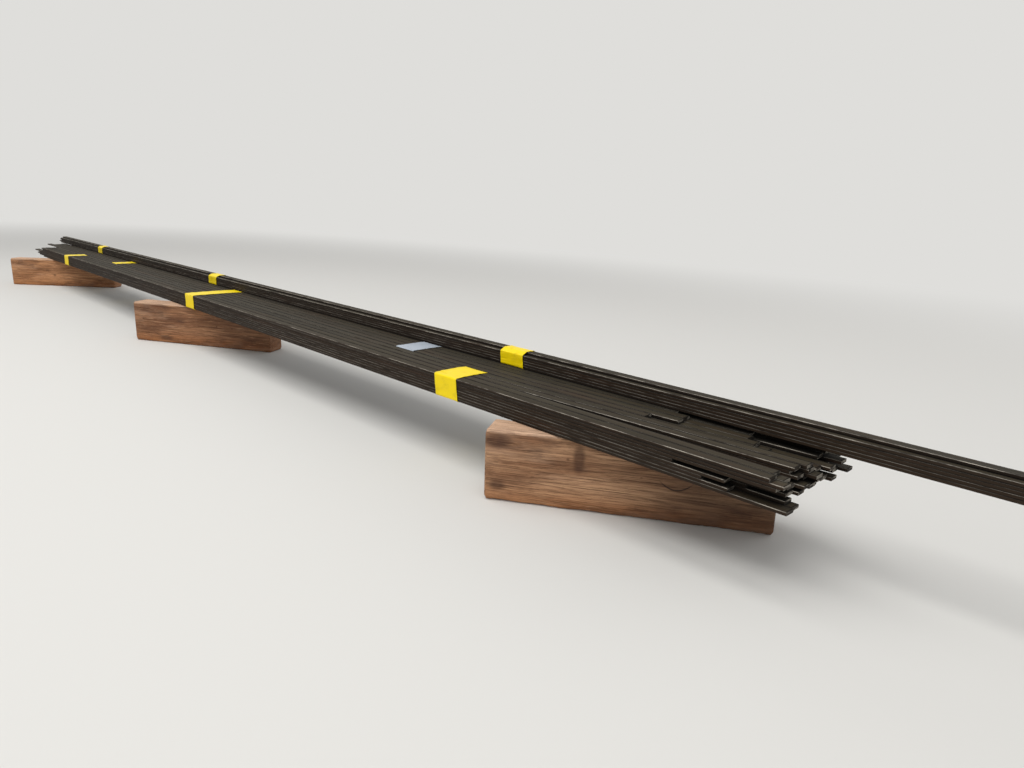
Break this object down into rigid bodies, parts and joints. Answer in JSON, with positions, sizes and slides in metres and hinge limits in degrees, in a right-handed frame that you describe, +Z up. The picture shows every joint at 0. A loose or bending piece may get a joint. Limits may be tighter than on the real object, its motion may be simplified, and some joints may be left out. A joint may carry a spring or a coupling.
{
  "type": "bundle of steel flat bars",
  "caption": "Long bundle of dark hot-rolled steel flat bars with uneven ends, tied with yellow tape and lying on timber bearers.",
  "frame": {"origin": "centre of the middle bearer's underside, on the floor", "axes": "+X along the bars towards their uneven near ends, +Y to the rear, where the long bars lie, +Z up"},
  "size_m": [4.031, 0.3082, 0.1539],
  "materials": {
    "mill_scale_steel": "hot-rolled, dark mill scale with brown tint and worn edges",
    "bearer_timber": "rough sawn, weathered",
    "yellow_tape": "satin tape",
    "silver_tape": "grey cloth tape"
  },
  "bodies": {
    "root": {"front_bundle_layer1": "mill_scale_steel", "front_bundle_layer2": "mill_scale_steel", "front_bundle_layer3": "mill_scale_steel", "front_bundle_layer4": "mill_scale_steel", "front_bundle_layer5": "mill_scale_steel", "front_bundle_layer6": "mill_scale_steel", "front_bundle_layer7": "mill_scale_steel", "front_bundle_layer8": "mill_scale_steel", "middle_bundle_layer1": "mill_scale_steel", "middle_bundle_layer2": "mill_scale_steel", "middle_bundle_layer3": "mill_scale_steel", "middle_bundle_layer4": "mill_scale_steel", "middle_bundle_layer5": "mill_scale_steel", "middle_bundle_layer6": "mill_scale_steel", "middle_bundle_layer7": "mill_scale_steel", "middle_bundle_layer8": "mill_scale_steel", "rear_bundle_layer1": "mill_scale_steel", "rear_bundle_layer2": "mill_scale_steel", "rear_bundle_layer3": "mill_scale_steel", "rear_bundle_layer4": "mill_scale_steel", "rear_bundle_layer5": "mill_scale_steel", "rear_bundle_layer6": "mill_scale_steel", "rear_bundle_layer7": "mill_scale_steel", "rear_bundle_layer8": "mill_scale_steel", "long_bundle_layer1": "mill_scale_steel", "long_bundle_layer2": "mill_scale_steel", "long_bundle_layer3": "mill_scale_steel", "long_bundle_layer4": "mill_scale_steel", "long_bundle_layer5": "mill_scale_steel", "long_bundle_top_bar": "mill_scale_steel", "middle_bearer": "bearer_timber", "near_bearer": "bearer_timber", "far_bearer": "bearer_timber", "front_near_tape": "yellow_tape", "front_far_tape": "yellow_tape", "joining_tape": "yellow_tape", "middle_far_tape": "yellow_tape", "long_near_tape": "yellow_tape", "long_middle_tape": "yellow_tape", "long_far_tape": "yellow_tape", "middle_silver_tape": "silver_tape"}
  },
  "joints": []
}
